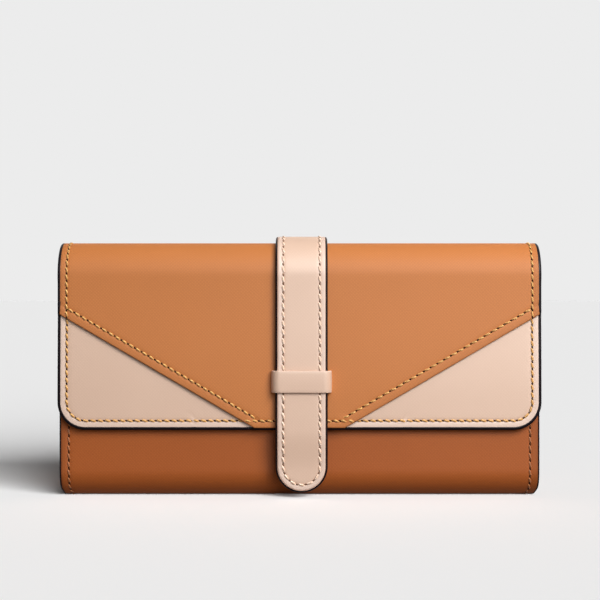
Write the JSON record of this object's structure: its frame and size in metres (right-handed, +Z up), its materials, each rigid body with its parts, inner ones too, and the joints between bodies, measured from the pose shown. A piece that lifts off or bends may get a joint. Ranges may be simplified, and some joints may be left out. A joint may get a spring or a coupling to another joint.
{
  "type": "long wallet",
  "caption": "Long flap wallet standing on its bottom fold: two-tone flap held by a strap through a keeper with a hidden magnetic snap, card slots, two bill compartments and a zipped pocket.",
  "frame": {"origin": "centre of the flat under the bottom fold, where the closed wallet stands", "axes": "+X along the width to the viewer's right, -Y the front with the flap, +Z up"},
  "size_m": [0.19, 0.0335, 0.1028],
  "materials": {
    "body_leather": "smooth fine-grained leather, semi-matte",
    "flap_leather": "smooth fine-grained leather, semi-matte",
    "beige_leather": "smooth fine-grained leather, semi-matte",
    "inner_leather": "thin smooth leather",
    "lining_cloth": "plain woven lining",
    "board": "fibre stiffener board",
    "zip_tape": "woven zip tape",
    "zip_metal": "polished light gold",
    "snap_metal": "plated snap"
  },
  "bodies": {
    "back": {"back_panel": "flap_leather", "back_lining": "lining_cloth", "bottom_fold": "body_leather", "bottom_lining": "lining_cloth", "strap_back": "beige_leather", "gusset_left": "lining_cloth", "gusset_right": "lining_cloth", "card_backing": "inner_leather", "card_slot_right_1": "inner_leather", "card_slot_left_1": "inner_leather", "card_slot_right_2": "inner_leather", "card_slot_left_2": "inner_leather", "card_slot_right_3": "inner_leather", "card_slot_left_3": "inner_leather", "card_slot_right_4": "inner_leather", "card_slot_left_4": "inner_leather"},
    "spine": {"top_fold": "flap_leather", "top_fold_lining": "lining_cloth", "strap_fold": "beige_leather"},
    "front": {"front_panel": "body_leather", "front_lining": "lining_cloth", "snap_socket": "snap_metal"},
    "pocket": {"pocket_floor": "lining_cloth", "pocket_front_wall": "lining_cloth", "pocket_rear_wall": "lining_cloth", "zip_tape_front": "zip_tape", "zip_tape_rear": "zip_tape", "zip_teeth_front": "zip_metal", "zip_teeth_rear": "zip_metal", "zip_stop_bottom": "zip_metal", "zip_stop_top_front": "zip_metal", "zip_stop_top_rear": "zip_metal"},
    "flap": {"flap_centre": "flap_leather", "flap_corner_left": "beige_leather", "flap_corner_right": "beige_leather", "flap_stiffener": "board", "flap_lining": "lining_cloth", "keeper_loop": "beige_leather", "strap_front": "beige_leather"},
    "strap_end": {"strap_tip": "beige_leather", "snap_stud": "snap_metal"},
    "slider": {"zip_slider": "zip_metal"},
    "pull": {"zip_pull": "zip_metal"}
  },
  "joints": [
    {"name": "flap_hinge", "type": "hinge", "parent": "spine", "child": "flap", "pos_m": [0, -0.0125, 0.094], "axis": [-1, 0, 0], "range_deg": [0, 90], "deforming": ["top_fold", "top_fold_lining", "strap_fold"]},
    {"name": "spine_hinge", "type": "hinge", "parent": "back", "child": "spine", "pos_m": [0, 0.0095, 0.094], "axis": [-1, 0, 0], "range_deg": [0, 90], "deforming": ["top_fold", "top_fold_lining", "strap_fold"]},
    {"name": "front_hinge", "type": "hinge", "parent": "back", "child": "front", "pos_m": [0, -0.004, 0.008], "axis": [1, 0, 0], "range_deg": [0, 18], "deforming": ["bottom_fold", "bottom_lining", "gusset_left", "gusset_right"]},
    {"name": "pocket_hinge", "type": "hinge", "parent": "back", "child": "pocket", "pos_m": [0, -0.0016, 0.008], "axis": [1, 0, 0], "range_deg": [0, 9]},
    {"name": "strap_hinge", "type": "hinge", "parent": "flap", "child": "strap_end", "pos_m": [0, -0.0176, 0.041], "axis": [-1, 0, 0], "range_deg": [0, 75]},
    {"name": "zip_slide", "type": "slide", "parent": "pocket", "child": "slider", "axis": [-1, 0, 0], "range_m": [0, 0.16], "deforming": ["zip_teeth_front", "zip_teeth_rear"]},
    {"name": "pull_hinge", "type": "hinge", "parent": "slider", "child": "pull", "pos_m": [0.082, -0.0016, 0.08305], "axis": [0, 1, 0], "range_deg": [0, 180]}
  ],
  "couplings": [
    {"joint": "spine_hinge", "follows": "flap_hinge", "ratio": 1},
    {"joint": "front_hinge", "follows": "flap_hinge", "ratio": 0.2},
    {"joint": "pocket_hinge", "follows": "flap_hinge", "ratio": 0.1}
  ]
}
